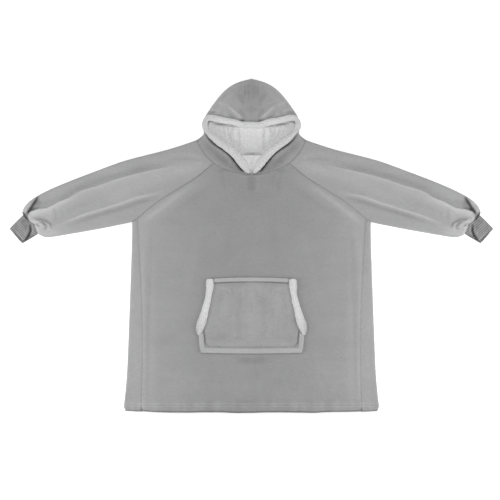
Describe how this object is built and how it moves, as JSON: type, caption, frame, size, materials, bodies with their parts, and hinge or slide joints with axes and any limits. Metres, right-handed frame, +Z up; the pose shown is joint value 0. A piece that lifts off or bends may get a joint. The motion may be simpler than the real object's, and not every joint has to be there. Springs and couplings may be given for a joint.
{
  "type": "wearable blanket hoodie",
  "caption": "Oversized grey plush blanket hoodie laid flat, with a curly fleece lined hood, gathered ribbed cuffs and a front pocket.",
  "frame": {"origin": "under the middle of the garment's box, on the surface it lies on", "axes": "+X from sleeve to sleeve, towards the wearer's left arm; +Y from the hem to the hood; +Z up out of the front"},
  "size_m": [1.6952, 1.1694, 0.042],
  "materials": {
    "plush_grey": "short flannel plush, outside of the garment",
    "rib_grey": "fine rib knit of the cuffs",
    "binding_grey": "flat folded binding round the pocket",
    "fleece_white": "curly fleece lining and trim"
  },
  "bodies": {
    "root": {"front": "plush_grey", "back": "plush_grey", "sleeve_left": "plush_grey", "sleeve_right": "plush_grey", "cuff_left": "rib_grey", "cuff_right": "rib_grey", "hood_left": "plush_grey", "hood_right": "plush_grey", "hood_lining": "fleece_white", "hood_trim": "fleece_white", "pocket": "plush_grey", "pocket_top_binding": "binding_grey", "pocket_low_binding": "binding_grey", "pocket_trim_left": "fleece_white", "pocket_trim_right": "fleece_white"}
  },
  "joints": []
}
